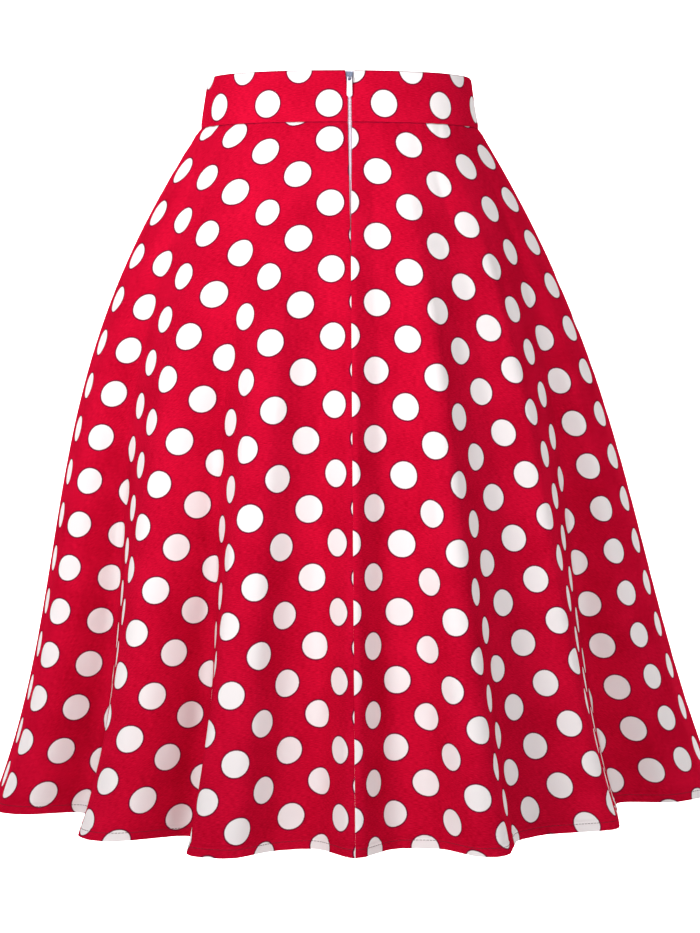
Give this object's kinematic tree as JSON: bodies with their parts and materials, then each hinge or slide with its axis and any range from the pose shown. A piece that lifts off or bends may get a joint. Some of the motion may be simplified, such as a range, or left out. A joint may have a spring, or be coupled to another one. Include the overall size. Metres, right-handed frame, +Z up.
{
  "type": "circle skirt",
  "caption": "Knee-length flared circle skirt with a straight waistband and a concealed back zip, hollow as worn, open at waist and hem.",
  "frame": {"origin": "middle of the waist seam, inside the wearer's waist", "axes": "+Z up, +X to the wearer's right, -Y to the wearer's back, where the zip is"},
  "size_m": [0.6094, 0.6336, 0.5942],
  "materials": {
    "dotted_cotton": "plain-woven red cotton, soft sheen, printed with off-white dots that have a thin dark edge",
    "zip_tape": "pale lilac woven zip tape",
    "zip_coil": "pale lilac nylon coil",
    "zip_metal": "blue-grey enamelled zip slider and pull tab"
  },
  "bodies": {
    "skirt": {"front_panel": "dotted_cotton", "back_left_panel": "dotted_cotton", "back_right_panel": "dotted_cotton", "waistband_front": "dotted_cotton", "waistband_back_left": "dotted_cotton", "waistband_back_right": "dotted_cotton", "zip_tape": "zip_tape", "zip_coil": "zip_coil", "zip_slider": "zip_metal"},
    "pull": {"zip_pull": "zip_metal"}
  },
  "joints": [
    {"name": "pull_swing", "type": "hinge", "parent": "skirt", "child": "pull", "pos_m": [0.00811, -0.0827, 0.03479], "axis": [-1, 0, 0], "range_deg": [0, 160]}
  ]
}
